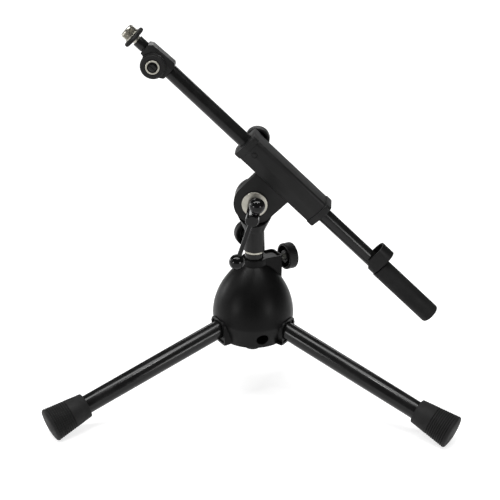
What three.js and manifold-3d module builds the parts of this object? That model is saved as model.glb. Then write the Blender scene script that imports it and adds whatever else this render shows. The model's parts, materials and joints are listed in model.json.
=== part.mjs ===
// Low tripod stand with a tilting boom for a microphone.
// Millimetres, +Z up, floor at z = 0, column on the Z axis, boom in the XZ plane.

import * as THREE from 'three';
import { mergeVertices } from 'three/addons/utils/BufferGeometryUtils.js';
import Module from 'manifold-3d';

const wasm = await Module();
wasm.setup();

// Gap left between separate pieces that touch in the real stand.
const GAP = 0.3;

// Base: three legs in a bell-shaped casting, turned a little from the boom's plane.
const BASE_YAW = 3;
const LEG_ANGLES = { left: 210, right: 330, rear: 90 };
const LEG_SLOPE = 18.5;
const LEG_AXIS_TOP = 96.1;
const LEG_R = 10;
const LEG_WALL = 1.5;
const LEG_START = 21;
const LEG_END = 252;
const LEG_SCREW_AT = 36;
const BELL_BOTTOM = 66;
const BELL_TOP = 151;
const BELL_WIDEST = 93;
const BELL_R = 44.2;
const BELL_BOTTOM_R = 35.6;
const SKIRT_TOP = 88.5;
const SKIRT_TOP_R = 43.5;
const BELL_WALL = 3.6;
const COLLAR_R = 13.8;
const COLLAR_TOP = 158.8;
const HUB_R = 15;
const HUB_BOTTOM = 74;
const PLATE_R = 42.6;
const PLATE_LEAN = 5.5;
const PLATE_HALF = 14.5;
const PLATE_BOTTOM = 66.5;
const PLATE_TOP = 95.5;

// Blind round socket in the cone below the bell.
const SOCKET_ANGLE = 286;
const SOCKET_Z = 77.3;
const SOCKET_R = 6.7;
const SOCKET_DEPTH = 13;

// Height clamp on the base.
const CLAMP_ANGLE = 30;
const CLAMP_HALF = 10.8;
const CLAMP_FACE = 30;
const CLAMP_Z = 151.7;
const SCREW_R = 4;

// Foot on the end of each leg.
const FOOT_START = 212.5;
const FOOT_LENGTH = 45.3;
const FOOT_R_IN = 13.5;
const FOOT_R_OUT = 18.3;

// Column.
const COLUMN_R = 10;
const COLUMN_BORE = 8.5;
const COLUMN_BOTTOM = 52.7;
const COLUMN_TOP = 164.6;
const STUD_R = 4.75;
const RING_TOP = 167.2;

// Swivel on top of the column, with the tilt pivot.
const SOCKET_BOTTOM = 167.5;
const PIVOT_Z = 223;
const EAR_R = 22.6;
const SWIVEL_LOCK_ANGLE = 111;
const SWIVEL_LOCK_Z = 178;
const REAR_EAR_FRONT = 5.4;
const REAR_EAR_BACK = 14;

// Tilt clamp: a bolt with a sliding cross bar.
const HUB_END = -58.5;
const BAR_Y = -53;
const BAR_LEAN = 17.5;
const BAR_R = 2.5;
const BALL_R = 8.4;
const BALL_SPAN = 66.5;
const BALL_UPPER = 15.9;

// Boom, tilted about the pivot.
const TILT = 43;
const TUBE_Z = 41.3;
const TUBE_R = 8;
const TUBE_WALL = 1.5;
const TUBE_START = -161.5;
const TUBE_END = 187;
const HOLDER_START = -46.4;
const HOLDER_END = 52;
const HOLDER_BOTTOM = 26.4;
const HOLDER_TOP = 54.7;
const HOLDER_HALF_TOP = 15.5;
const HOLDER_HALF_BOTTOM = 10.5;
const FRONT_EAR_FRONT = -8;
const FRONT_EAR_BACK = 3.6;
const CAP_LENGTH = 7.3;
const LOCK_X = -39.4;
const CLIP_START = 131;
const CLIP_END = 146.4;
const CLIP_R = 10.2;
const CLIP_RISE = 11.6;
const WEIGHT_START = 147.8;
const WEIGHT_END = 227;
const WEIGHT_R = 11;

// Head at the upper end of the boom.
const HEAD_X = -179;
const HEAD_Z = 35.5;
const HEAD_R = 13.4;
const HEAD_HALF = 12.4;
const BLOCK_HALF = 9.4;
const HEAD_SPLIT = -186.3;
const NECK_END = -207.6;
const ADAPTER_R = 7.95;

const rad = THREE.MathUtils.degToRad;

// ---------- building blocks ----------

function solid(geometry) {
  const bare = geometry.index ? geometry.toNonIndexed() : geometry.clone();
  bare.deleteAttribute('normal');
  bare.deleteAttribute('uv');
  const joined = mergeVertices(bare, 1e-4);
  const index = joined.index.array;
  const kept = [];
  for (let i = 0; i < index.length; i += 3) {
    const [a, b, c] = [index[i], index[i + 1], index[i + 2]];
    if (a !== b && b !== c && c !== a) kept.push(a, b, c);
  }
  const mesh = new wasm.Mesh({
    numProp: 3,
    vertProperties: new Float32Array(joined.attributes.position.array),
    triVerts: new Uint32Array(kept),
  });
  return new wasm.Manifold(mesh);
}

// A profile of [radius, height] points, anticlockwise, turned about Z.
function turned(points, segments = 28) {
  const profile = points.map(([r, z]) => new THREE.Vector2(r, z));
  const [first, last] = [profile[0], profile[profile.length - 1]];
  if (first.x > 0 || last.x > 0) profile.push(first.clone());
  return new THREE.LatheGeometry(profile, segments).rotateX(Math.PI / 2);
}

function rod(radius, from, to, segments = 24) {
  return turned([[0, from], [radius, from], [radius, to], [0, to]], segments);
}

function pipe(outer, inner, from, to, segments = 28) {
  return turned([[inner, from], [outer, from], [outer, to], [inner, to]], segments);
}

function box(x0, x1, y0, y1, z0, z1) {
  const shape = new THREE.BoxGeometry(x1 - x0, y1 - y0, z1 - z0);
  return shape.translate((x0 + x1) / 2, (y0 + y1) / 2, (z0 + z1) / 2);
}

function extruded(shape, depth, curveSegments = 12) {
  return new THREE.ExtrudeGeometry(shape, { depth, bevelEnabled: false, curveSegments });
}

// A YZ outline swept along X.
function alongX(shape, x0, x1, curveSegments) {
  const turn = new THREE.Matrix4().makeBasis(
    new THREE.Vector3(0, 1, 0),
    new THREE.Vector3(0, 0, 1),
    new THREE.Vector3(1, 0, 0),
  );
  return extruded(shape, x1 - x0, curveSegments).applyMatrix4(turn).translate(x0, 0, 0);
}

// An XZ outline swept along Y.
function alongY(shape, y0, y1, curveSegments) {
  return extruded(shape, y1 - y0, curveSegments).rotateX(Math.PI / 2).translate(0, y1, 0);
}

// Moves a shape turned about Z so that its axis points along +X, -X, +Y or -Y.
const toX = (geometry) => geometry.rotateY(Math.PI / 2);
const toBack = (geometry) => geometry.rotateX(-Math.PI / 2);
const toFront = (geometry) => geometry.rotateX(Math.PI / 2);

function roundedRectangle(x0, x1, y0, y1, r) {
  const shape = new THREE.Shape();
  shape.moveTo(x0 + r, y0);
  shape.lineTo(x1 - r, y0);
  shape.absarc(x1 - r, y0 + r, r, -Math.PI / 2, 0);
  shape.lineTo(x1, y1 - r);
  shape.absarc(x1 - r, y1 - r, r, 0, Math.PI / 2);
  shape.lineTo(x0 + r, y1);
  shape.absarc(x0 + r, y1 - r, r, Math.PI / 2, Math.PI);
  shape.lineTo(x0, y0 + r);
  shape.absarc(x0 + r, y0 + r, r, Math.PI, 1.5 * Math.PI);
  return shape;
}

const FINISHES = {
  satin_black: { color: 0x151516, roughness: 0.45, metalness: 0.1 },
  gloss_black: { color: 0x0d0e0e, roughness: 0.15, metalness: 0.2 },
  matt_black: { color: 0x1a1a1a, roughness: 0.75, metalness: 0 },
  rubber: { color: 0x1c1c1c, roughness: 0.9, metalness: 0 },
  nickel: { color: 0xb8b8b0, roughness: 0.28, metalness: 1 },
  steel: { color: 0x8c8c88, roughness: 0.35, metalness: 1 },
  brass: { color: 0xb08a4a, roughness: 0.35, metalness: 1 },
};

function node(name, shape, finish) {
  const body = shape.isBufferGeometry ? solid(shape) : shape;
  const data = body.getMesh();
  const geometry = new THREE.BufferGeometry();
  const positions = new THREE.BufferAttribute(new Float32Array(data.vertProperties), 3);
  geometry.setAttribute('position', positions);
  geometry.setIndex(new THREE.BufferAttribute(new Uint32Array(data.triVerts), 1));
  geometry.computeVertexNormals();
  const mesh = new THREE.Mesh(geometry, new THREE.MeshStandardMaterial(FINISHES[finish]));
  mesh.name = name;
  return mesh;
}

function group(...children) {
  const parent = new THREE.Group();
  parent.add(...children);
  return parent;
}

// ---------- knobs and screws ----------

// Round clamp knob on +Z: hollow towards the stand, with a hub round its screw.
function knob(radius, from, to) {
  const rim = 2.6;
  return turned([
    [SCREW_R + GAP, from + 1],
    [7.2, from + 1],
    [7.2, to - 4],
    [radius - rim, to - 4],
    [radius - rim, from],
    [radius - 0.8, from],
    [radius, from + 0.8],
    [radius, to - 1.6],
    [radius - 1.6, to],
    [0, to],
    [0, to - 3],
    [SCREW_R + GAP, to - 3],
  ], 24);
}

function clampScrew(from, to) {
  return turned([
    [0, from],
    [SCREW_R - 0.8, from],
    [SCREW_R, from + 0.8],
    [SCREW_R, to],
    [0, to],
  ], 24);
}

// ---------- base ----------

function bellOutline() {
  const bottom = BELL_BOTTOM;
  const outer = new THREE.Path();
  outer.moveTo(BELL_BOTTOM_R, bottom);
  outer.lineTo(SKIRT_TOP_R, SKIRT_TOP);
  outer.bezierCurveTo(44.1, SKIRT_TOP + 1.5, BELL_R, SKIRT_TOP + 3, BELL_R, BELL_WIDEST);
  outer.bezierCurveTo(BELL_R, 118.5, 29, 139, 14.9, BELL_TOP);
  const inner = new THREE.Path();
  inner.moveTo(HUB_R, 137);
  inner.bezierCurveTo(26, 134, BELL_R - BELL_WALL, 116, BELL_R - BELL_WALL, BELL_WIDEST);
  inner.lineTo(SKIRT_TOP_R - BELL_WALL, SKIRT_TOP);
  inner.lineTo(BELL_BOTTOM_R - 3.4, bottom);
  const points = outer.getPoints(6).map((p) => [p.x, p.y]);
  points.push([COLLAR_R, BELL_TOP + 0.6], [COLLAR_R, COLLAR_TOP - 0.6]);
  points.push([COLLAR_R - 0.6, COLLAR_TOP], [COLUMN_R + GAP, COLLAR_TOP]);
  points.push([COLUMN_R + GAP, HUB_BOTTOM], [HUB_R, HUB_BOTTOM]);
  points.push(...inner.getPoints(3).map((p) => [p.x, p.y]));
  return points;
}

// Outline of a leg boss seen along the leg: straight sides under a low arch.
function bossOutline(inset) {
  const half = PLATE_HALF - inset;
  const side = 85;
  const top = PLATE_TOP - inset;
  const bottom = PLATE_BOTTOM + inset;
  const shape = new THREE.Shape();
  shape.moveTo(-half + 2, bottom);
  shape.lineTo(half - 2, bottom);
  shape.quadraticCurveTo(half, bottom, half, bottom + 2);
  shape.lineTo(half, side);
  shape.bezierCurveTo(half, top - 2, half * 0.6, top, 0, top);
  shape.bezierCurveTo(-half * 0.6, top, -half, top - 2, -half, side);
  shape.lineTo(-half, bottom + 2);
  shape.quadraticCurveTo(-half, bottom, -half + 2, bottom);
  return shape;
}

function legBoss() {
  const lean = new THREE.Matrix4().makeTranslation(PLATE_R, 0, PLATE_BOTTOM)
    .multiply(new THREE.Matrix4().makeRotationY(rad(PLATE_LEAN)))
    .multiply(new THREE.Matrix4().makeTranslation(-PLATE_R, 0, -PLATE_BOTTOM));
  const block = solid(alongX(bossOutline(0), 13, PLATE_R, 3).applyMatrix4(lean));
  const recess = solid(alongX(bossOutline(2.2), PLATE_R - 1.4, PLATE_R + 4, 3).applyMatrix4(lean));
  return block.subtract(recess);
}

// Puts a shape turned about Z on a leg's axis; its zero is on the column axis.
function onLeg(geometry) {
  return geometry.rotateY(rad(90 + LEG_SLOPE)).translate(0, 0, LEG_AXIS_TOP);
}

function aroundColumn(shape, angle) {
  return shape.rotate([0, 0, angle]);
}

// Along the normal of the cone below the bell, which leans back under it; zero is on its surface.
function onSkirt(geometry) {
  const slope = Math.atan2(SKIRT_TOP_R - BELL_BOTTOM_R, SKIRT_TOP - BELL_BOTTOM);
  const radius = BELL_BOTTOM_R + (SOCKET_Z - BELL_BOTTOM) * Math.tan(slope);
  return geometry.rotateY(-Math.PI / 2 + slope).translate(radius, 0, SOCKET_Z);
}

function baseHousing() {
  let body = solid(turned(bellOutline(), 28));
  const arm = roundedRectangle(0, CLAMP_FACE, -CLAMP_HALF, CLAMP_HALF, 2.2);
  const block = solid(extruded(arm, COLLAR_TOP - 118, 2).translate(0, 0, 118));
  const tray = solid(box(17, CLAMP_FACE - 2, -CLAMP_HALF + 2, CLAMP_HALF - 2, 156.9, 160));
  body = body.add(aroundColumn(block.subtract(tray), CLAMP_ANGLE));
  const thickening = solid(onSkirt(rod(SOCKET_R + 2.3, 1.6, SOCKET_DEPTH + 2.6, 24)));
  body = body.add(aroundColumn(thickening, SOCKET_ANGLE));
  for (const angle of Object.values(LEG_ANGLES)) {
    body = body.add(aroundColumn(legBoss(), angle));
  }
  for (const angle of Object.values(LEG_ANGLES)) {
    const bore = solid(onLeg(rod(LEG_R + GAP, LEG_START - 0.5, 80, 24)));
    const hole = solid(onLeg(legScrewShape(GAP)));
    body = body.subtract(aroundColumn(bore, angle)).subtract(aroundColumn(hole, angle));
  }
  body = body.subtract(solid(rod(COLUMN_R + GAP, 0, 200, 28)));
  const clampBore = solid(toX(rod(SCREW_R + 0.4, 5, 40, 24)).translate(0, 0, CLAMP_Z));
  body = body.subtract(aroundColumn(clampBore, CLAMP_ANGLE));
  const socket = solid(onSkirt(rod(SOCKET_R, -8, SOCKET_DEPTH, 24)));
  return body.subtract(aroundColumn(socket, SOCKET_ANGLE));
}

// Screw through the casting into a leg, in the leg's own axis frame.
function legScrewShape(extra) {
  const head = -LEG_R - 3.2;
  const screw = turned([
    [0, head - 3 - (extra > 0 ? 12 : 0)],
    [4 + extra, head - 3 - (extra > 0 ? 12 : 0)],
    [4 + extra, head + extra],
    [2 + extra, head + extra],
    [2 + extra, -LEG_R + 5],
    [0, -LEG_R + 5],
  ], 20);
  return screw.rotateY(-Math.PI / 2).translate(0, 0, LEG_SCREW_AT);
}

function leg(side, angle) {
  const tube = solid(pipe(LEG_R, LEG_R - LEG_WALL, LEG_START, LEG_END, 28));
  const drilled = tube.subtract(solid(legScrewShape(GAP)));
  const slope = group(
    node(`leg_${side}`, drilled, 'gloss_black'),
    node(`leg_screw_${side}`, legScrewShape(0), 'steel'),
  );
  slope.rotation.y = rad(90 + LEG_SLOPE);
  slope.position.z = LEG_AXIS_TOP;
  const parent = group(slope, node(`foot_${side}`, foot(), 'rubber'));
  parent.rotation.z = rad(angle);
  return parent;
}

// Cup over the leg's end, cut flat where it stands on the floor.
function foot() {
  const end = FOOT_START + FOOT_LENGTH;
  const cup = turned([
    [LEG_R + GAP, FOOT_START],
    [FOOT_R_IN - 0.8, FOOT_START],
    [FOOT_R_IN, FOOT_START + 0.8],
    [FOOT_R_OUT, end - 4.2],
    [FOOT_R_OUT - 1, end - 2.6],
    [FOOT_R_OUT - 5, end - 0.8],
    [0, end],
    [0, LEG_END + GAP],
    [LEG_R + GAP, LEG_END + GAP],
  ], 32);
  return solid(onLeg(cup)).subtract(solid(box(150, 300, -40, 40, -20, 0)));
}

function heightClamp() {
  const pad = solid(toX(rod(SCREW_R, 8, 16, 24)));
  const cradle = solid(rod(COLUMN_R + 0.1, -10, 10, 32));
  const parent = group(
    node('base_clamp_pad', pad.subtract(cradle), 'brass'),
    node('base_clamp_screw', toX(clampScrew(16.3, 45.2)), 'steel'),
    node('base_clamp_knob', toX(knob(14.5, 37.5, 48.5)), 'matt_black'),
  );
  parent.position.z = CLAMP_Z;
  parent.rotation.z = rad(CLAMP_ANGLE);
  return parent;
}

function base() {
  const parent = group(node('base_housing', baseHousing(), 'satin_black'), heightClamp());
  for (const [side, angle] of Object.entries(LEG_ANGLES)) parent.add(leg(side, angle));
  parent.rotation.z = rad(BASE_YAW);
  return parent;
}

// ---------- column ----------

function column() {
  const plug = turned([
    [0, COLUMN_BOTTOM - 3.4],
    [4, COLUMN_BOTTOM - 3.1],
    [8, COLUMN_BOTTOM - 2],
    [COLUMN_R - 0.2, COLUMN_BOTTOM - 0.5],
    [COLUMN_R - 0.2, COLUMN_BOTTOM - GAP],
    [COLUMN_BORE - GAP, COLUMN_BOTTOM - GAP],
    [COLUMN_BORE - GAP, 70],
    [0, 70],
  ]);
  const insert = turned([
    [0, 138],
    [COLUMN_BORE - GAP, 138],
    [COLUMN_BORE - GAP, COLUMN_TOP],
    [STUD_R, COLUMN_TOP],
    [STUD_R, 187.4],
    [STUD_R - 0.6, 188],
    [0, 188],
  ]);
  const ring = pipe(COLUMN_R + 0.15, STUD_R + GAP, COLUMN_TOP + GAP, RING_TOP);
  return group(
    node('column_tube', pipe(COLUMN_R, COLUMN_BORE, COLUMN_BOTTOM, COLUMN_TOP), 'gloss_black'),
    node('column_plug', plug, 'matt_black'),
    node('column_stud', insert, 'steel'),
    node('column_ring', ring, 'nickel'),
  );
}

// ---------- swivel ----------

function swivelBody() {
  const boreR = STUD_R + GAP;
  const stem = solid(turned([
    [boreR, SOCKET_BOTTOM],
    [11.1, SOCKET_BOTTOM],
    [11.5, SOCKET_BOTTOM + 0.4],
    [10.6, 190],
    [11.8, 192.5],
    [18.4, 207],
    [18.4, 222],
    [0, 222],
    [0, 188.4],
    [boreR, 188.4],
  ]));
  const cut = solid(box(-30, 30, REAR_EAR_BACK, 40, 150, 260));
  const ear = solid(toBack(rod(EAR_R, REAR_EAR_FRONT, REAR_EAR_BACK, 32)).translate(0, 0, PIVOT_Z));
  const sweep = toBack(rod(EAR_R + 1.9, -40, REAR_EAR_FRONT, 32)).translate(0, 0, PIVOT_Z);
  const boltHole = toBack(rod(4.3, -40, 40, 24)).translate(0, 0, PIVOT_Z);
  const boss = toX(rod(6.5, 0, 15.5, 28)).translate(0, 0, SWIVEL_LOCK_Z);
  const lockBore = toX(rod(SCREW_R + GAP, 0, 30, 24)).translate(0, 0, SWIVEL_LOCK_Z);
  const studBore = solid(rod(boreR, 150, 188.4));
  return stem.subtract(cut).add(aroundColumn(solid(boss), SWIVEL_LOCK_ANGLE))
    .subtract(solid(sweep)).add(ear).subtract(solid(boltHole))
    .subtract(aroundColumn(solid(lockBore), SWIVEL_LOCK_ANGLE)).subtract(studBore);
}

function swivelLock() {
  const parent = group(
    node('swivel_lock_screw', toX(clampScrew(STUD_R + GAP, 24.6)), 'steel'),
    node('swivel_lock_knob', toX(knob(15, 18.6, 28)), 'matt_black'),
  );
  parent.position.z = SWIVEL_LOCK_Z;
  parent.rotation.z = rad(SWIVEL_LOCK_ANGLE);
  return parent;
}

function swivel() {
  return group(node('swivel_body', swivelBody(), 'satin_black'), swivelLock());
}

// ---------- tilt clamp ----------

// Pointing towards -Y: shank through both ears, then the long hub.
function tiltBolt() {
  const bolt = solid(toFront(turned([
    [0, -25],
    [3.5, -25],
    [4, -24.5],
    [4, -FRONT_EAR_FRONT + 2.6],
    [7.6, -FRONT_EAR_FRONT + 2.6],
    [7.6, 18],
    [7.1, 22],
    [7, 56.5],
    [5.6, 58],
    [0, -HUB_END],
  ], 32)));
  return bolt.subtract(solid(rod(BAR_R + GAP, -20, 20, 24).rotateY(rad(BAR_LEAN)).translate(0, BAR_Y, 0)));
}

function crossBar() {
  const lower = BALL_UPPER - BALL_SPAN;
  const reach = 5;
  const ball = (at) => solid(new THREE.SphereGeometry(BALL_R, 18, 10).rotateX(Math.PI / 2))
    .translate([0, 0, at]);
  const socketUp = solid(rod(BAR_R + GAP, BALL_UPPER - BALL_R - 2, BALL_UPPER + reach + GAP, 24));
  const socketDown = solid(rod(BAR_R + GAP, lower - reach - GAP, lower + BALL_R + 2, 24));
  const parent = group(
    node('cross_bar_rod', rod(BAR_R, lower - reach, BALL_UPPER + reach, 24), 'gloss_black'),
    node('cross_bar_ball_upper', ball(BALL_UPPER).subtract(socketUp), 'gloss_black'),
    node('cross_bar_ball_lower', ball(lower).subtract(socketDown), 'gloss_black'),
  );
  parent.position.y = BAR_Y;
  parent.rotation.y = rad(BAR_LEAN);
  return parent;
}

function tiltClamp() {
  const front = -FRONT_EAR_FRONT + GAP;
  const thin = pipe(13.75, SCREW_R + GAP, FRONT_EAR_BACK + GAP, REAR_EAR_FRONT - GAP);
  const nut = new THREE.CylinderGeometry(7.5, 7.5, 6.4, 6).rotateX(Math.PI / 2);
  const nutBore = solid(rod(SCREW_R + GAP, -20, 20, 24));
  const parent = group(
    node('tilt_bolt', tiltBolt(), 'gloss_black'),
    node('tilt_washer', toFront(pipe(13.75, SCREW_R + GAP, front, front + 2, 28)), 'nickel'),
    node('friction_washer', toBack(thin), 'matt_black'),
    node('tilt_nut', solid(toBack(nut)).subtract(solid(toBack(rod(SCREW_R + GAP, -20, 20, 24))))
      .translate([0, REAR_EAR_BACK + GAP + 3.2, 0]), 'steel'),
    crossBar(),
  );
  parent.position.z = PIVOT_Z;
  return parent;
}

// ---------- boom holder ----------

function holderSection(extra) {
  const top = HOLDER_TOP + extra;
  const bottom = HOLDER_BOTTOM - extra;
  const wide = HOLDER_HALF_TOP + extra;
  const narrow = HOLDER_HALF_BOTTOM + extra;
  const shape = new THREE.Shape();
  shape.moveTo(-narrow + 2, bottom);
  shape.lineTo(narrow - 2, bottom);
  shape.quadraticCurveTo(narrow, bottom, narrow + 0.5, bottom + 2);
  shape.lineTo(wide, 40);
  shape.lineTo(wide, top - 4.5);
  shape.quadraticCurveTo(wide, top, wide - 4.5, top);
  shape.lineTo(-wide + 4.5, top);
  shape.quadraticCurveTo(-wide, top, -wide, top - 4.5);
  shape.lineTo(-wide, 40);
  shape.lineTo(-narrow - 0.5, bottom + 2);
  shape.quadraticCurveTo(-narrow, bottom, -narrow + 2, bottom);
  return shape;
}

function tubeBore(radius, x0, x1) {
  return solid(toX(rod(radius, x0, x1, 32)).translate(0, 0, TUBE_Z));
}

function boomHolder() {
  const bar = solid(alongX(holderSection(0), HOLDER_START, HOLDER_END, 5));
  const ear = new THREE.Shape();
  ear.moveTo(-EAR_R, 0);
  ear.absarc(0, 0, EAR_R, Math.PI, 2 * Math.PI);
  ear.lineTo(EAR_R + 1.2, 30);
  ear.lineTo(-EAR_R, 30);
  const hang = solid(alongY(ear, FRONT_EAR_FRONT, FRONT_EAR_BACK, 24));
  const boss = solid(toBack(rod(6.4, 10, 30.5, 32)).translate(LOCK_X, 0, TUBE_Z));
  const lockBore = solid(toBack(rod(SCREW_R + GAP, 0, 40, 24)).translate(LOCK_X, 0, TUBE_Z));
  const boltHole = solid(toBack(rod(SCREW_R + GAP, -40, 40, 24)));
  const mark = solid(toFront(pipe(3.4, 2.6, 15.1, 20, 24)).translate(LOCK_X, 0, TUBE_Z));
  return bar.add(hang).add(boss).subtract(tubeBore(TUBE_R + GAP, -80, 80))
    .subtract(lockBore).subtract(boltHole).subtract(mark);
}

function holderCap(x0) {
  const cap = solid(alongX(holderSection(0.7), x0, x0 + CAP_LENGTH, 5));
  return cap.subtract(tubeBore(TUBE_R + GAP, -80, 80));
}

function boomLock() {
  const pad = solid(rod(SCREW_R - 0.1, 4, 15, 24)).subtract(solid(toX(rod(TUBE_R + 0.1, -9, 9, 32))));
  const parent = group(
    node('boom_clamp_pad', pad, 'brass'),
    node('boom_clamp_screw', clampScrew(15.3, 42), 'steel'),
    node('boom_clamp_knob', knob(13.3, 34, 45.2), 'matt_black'),
  );
  parent.position.set(LOCK_X, 0, TUBE_Z);
  parent.rotation.x = -Math.PI / 2;
  return parent;
}

// ---------- boom tube and what it carries ----------

// Strap round the tube that rises into a tall loop for a cable, cut back at a slant underneath.
function clipOutline(half) {
  const shape = new THREE.Shape();
  shape.moveTo(-half, 0);
  shape.absarc(0, 0, half, Math.PI, 2 * Math.PI);
  shape.lineTo(half, CLIP_RISE);
  shape.absarc(0, CLIP_RISE, half, 0, Math.PI);
  return shape;
}

function cableClip() {
  const strap = solid(alongX(clipOutline(CLIP_R), CLIP_START, CLIP_END, 16));
  const inside = solid(alongX(clipOutline(TUBE_R + GAP), CLIP_START - 5, CLIP_END + 5, 16));
  const slant = new THREE.Shape();
  slant.moveTo(CLIP_START - 2, 1);
  slant.lineTo(CLIP_START - 2, -14);
  slant.lineTo(CLIP_START + 12.5, -14);
  const under = solid(alongY(slant, -20, 20));
  return strap.subtract(inside).subtract(under).translate([0, 0, TUBE_Z]);
}

function counterweight() {
  const bar = turned([
    [0, 188],
    [TUBE_R + GAP, 188],
    [TUBE_R + GAP, WEIGHT_START],
    [WEIGHT_R - 1, WEIGHT_START],
    [WEIGHT_R, WEIGHT_START + 1],
    [WEIGHT_R, WEIGHT_END - 3],
    [WEIGHT_R - 0.9, WEIGHT_END - 0.9],
    [WEIGHT_R - 3, WEIGHT_END],
    [0, WEIGHT_END],
  ], 32);
  const screwHole = solid(rod(2.3, TUBE_R - 4, 20, 20)).translate([168, 0, 0]);
  return solid(toX(bar)).subtract(screwHole).translate([0, 0, TUBE_Z]);
}

function boomTube() {
  const tube = toX(pipe(TUBE_R, TUBE_R - TUBE_WALL, TUBE_START, TUBE_END, 32));
  return solid(tube.translate(0, 0, TUBE_Z));
}

function weightScrew() {
  return rod(2, TUBE_R + GAP, WEIGHT_R - 0.6, 20).translate(168, 0, TUBE_Z);
}

// ---------- head ----------

function headOutline() {
  const shape = new THREE.Shape();
  shape.moveTo(HEAD_X + 12.4, HEAD_Z - 5.1);
  shape.lineTo(-161.7, 33);
  shape.lineTo(-162, 49.6);
  shape.lineTo(-164.6, 52);
  shape.lineTo(-193.6, 50.6);
  shape.lineTo(-197, 47.6);
  shape.lineTo(-197, 36);
  shape.lineTo(HEAD_X - HEAD_R, HEAD_Z);
  shape.absarc(HEAD_X, HEAD_Z, HEAD_R, Math.PI, 2 * Math.PI - 0.39);
  return shape;
}

function headBoltHole() {
  return solid(toFront(rod(2.8, -40, 40, 24)).translate(HEAD_X, 0, HEAD_Z));
}

// Fixed half: plugs into the tube, with the rear ear and the stop above the disc.
function headSocket() {
  const whole = solid(alongY(headOutline(), -BLOCK_HALF, BLOCK_HALF, 12));
  const sweep = solid(toBack(rod(HEAD_R + GAP, -40, GAP / 2, 28)).translate(HEAD_X, 0, HEAD_Z));
  const opening = solid(box(-210, HEAD_SPLIT, -40, 40, 0, 80));
  const rearDisc = solid(toBack(rod(HEAD_R, GAP / 2, HEAD_HALF, 28)).translate(HEAD_X, 0, HEAD_Z));
  const low = solid(box(-210, HEAD_X + 13, -40, GAP / 2, 0, HEAD_Z));
  const spigot = solid(toX(rod(TUBE_R - TUBE_WALL - GAP, -163, -143, 32)).translate(0, 0, TUBE_Z));
  return whole.subtract(opening).subtract(sweep).subtract(low).add(rearDisc).add(spigot)
    .subtract(headBoltHole());
}

// Tilting half: front ear, and the block that the neck is pressed into.
function headYoke() {
  const whole = solid(alongY(headOutline(), -BLOCK_HALF, BLOCK_HALF, 12));
  const sweep = solid(toBack(rod(HEAD_R + GAP, -GAP / 2, 40, 28)).translate(HEAD_X, 0, HEAD_Z));
  const behind = solid(box(HEAD_SPLIT - GAP, -150, -40, 40, 0, 80));
  const disc = solid(toBack(rod(HEAD_R, -HEAD_HALF, -GAP / 2, 28)).translate(HEAD_X, 0, HEAD_Z));
  return whole.subtract(behind).add(disc).subtract(sweep).subtract(headBoltHole());
}

// Turned about Z with the front of the disc at +Z.
function headTrim() {
  const face = HEAD_HALF + GAP;
  const cap = turned([
    [2.8, face],
    [12.6, face],
    [12.6, face + 1.6],
    [11.8, face + 2.4],
    [2.8, face + 2.4],
  ], 28);
  const bolt = solid(turned([
    [0, -18],
    [2.5, -18],
    [2.5, face + 2.7],
    [4, face + 2.7],
    [4, face + 3.6],
    [3.2, face + 4.2],
    [0, face + 4.2],
  ], 28));
  const slot = solid(box(-5, 5, -0.5, 0.5, face + 3.4, face + 5));
  const nut = new THREE.CylinderGeometry(5, 5, 3.4, 6).rotateX(Math.PI / 2);
  const nutBody = solid(nut).translate([0, 0, -HEAD_HALF - GAP - 1.7]);
  const parent = group(
    node('head_cap', cap, 'matt_black'),
    node('head_inlay', pipe(7.4, 5.6, face + 2.7, face + 3.2, 28), 'nickel'),
    node('head_bolt', bolt.subtract(slot), 'gloss_black'),
    node('head_nut', nutBody.subtract(solid(rod(2.8, -30, 0, 24))), 'steel'),
  );
  parent.rotation.x = Math.PI / 2;
  parent.position.set(HEAD_X, 0, HEAD_Z);
  return parent;
}

// Threaded end that takes the microphone clip, turned about Z with its tip at +Z.
function neckEnd() {
  const start = -NECK_END;
  const stud = turned([
    [0, start - 4.6],
    [STUD_R, start - 4.6],
    [STUD_R, start + 13],
    [0, start + 13],
  ], 32);
  const adapter = solid(turned([
    [STUD_R + GAP, start + 7.1],
    [9.2, start + 7.1],
    [9.5, start + 7.4],
    [9.5, start + 7.8],
    [9.2, start + 8.1],
    [ADAPTER_R, start + 8.1],
    [ADAPTER_R, start + 15.4],
    [ADAPTER_R - 0.6, start + 16],
    [STUD_R + GAP, start + 16],
  ], 32));
  const slot = solid(box(-10, 10, -1, 1, start + 13, start + 20));
  const ring = turned([
    [STUD_R + GAP, start + 2.6],
    [10.8, start + 2.6],
    [12.1, start + 3.3],
    [12.6, start + 4.3],
    [12.6, start + 5.2],
    [12.1, start + 6.1],
    [10.8, start + 6.8],
    [STUD_R + GAP, start + 6.8],
  ], 36);
  const parent = group(
    node('head_neck', pipe(6.1, STUD_R + GAP, 197 + GAP, start, 32), 'gloss_black'),
    node('neck_stud', stud, 'nickel'),
    node('lock_ring', ring, 'matt_black'),
    node('thread_adapter', adapter.subtract(slot), 'nickel'),
  );
  parent.rotation.y = -Math.PI / 2;
  parent.position.z = TUBE_Z;
  return parent;
}

// ---------- boom ----------

function boom() {
  const parent = group(
    node('boom_holder', boomHolder(), 'satin_black'),
    node('holder_cap_upper', holderCap(HOLDER_START - GAP - CAP_LENGTH), 'satin_black'),
    node('holder_cap_lower', holderCap(HOLDER_END + GAP), 'satin_black'),
    boomLock(),
    node('boom_tube', boomTube(), 'gloss_black'),
    node('cable_clip', cableClip(), 'matt_black'),
    node('counterweight', counterweight(), 'matt_black'),
    node('weight_screw', weightScrew(), 'steel'),
    node('head_socket', headSocket(), 'satin_black'),
    node('head_yoke', headYoke(), 'satin_black'),
    headTrim(),
    neckEnd(),
  );
  parent.rotation.y = rad(TILT);
  parent.position.z = PIVOT_Z;
  return parent;
}

const stand = group(base(), column(), swivel(), tiltClamp(), boom());
stand.name = 'boom_stand';

export default stand;
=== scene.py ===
"""Looks, studio and camera for the boom microphone stand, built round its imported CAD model."""

import json
import math

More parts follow.
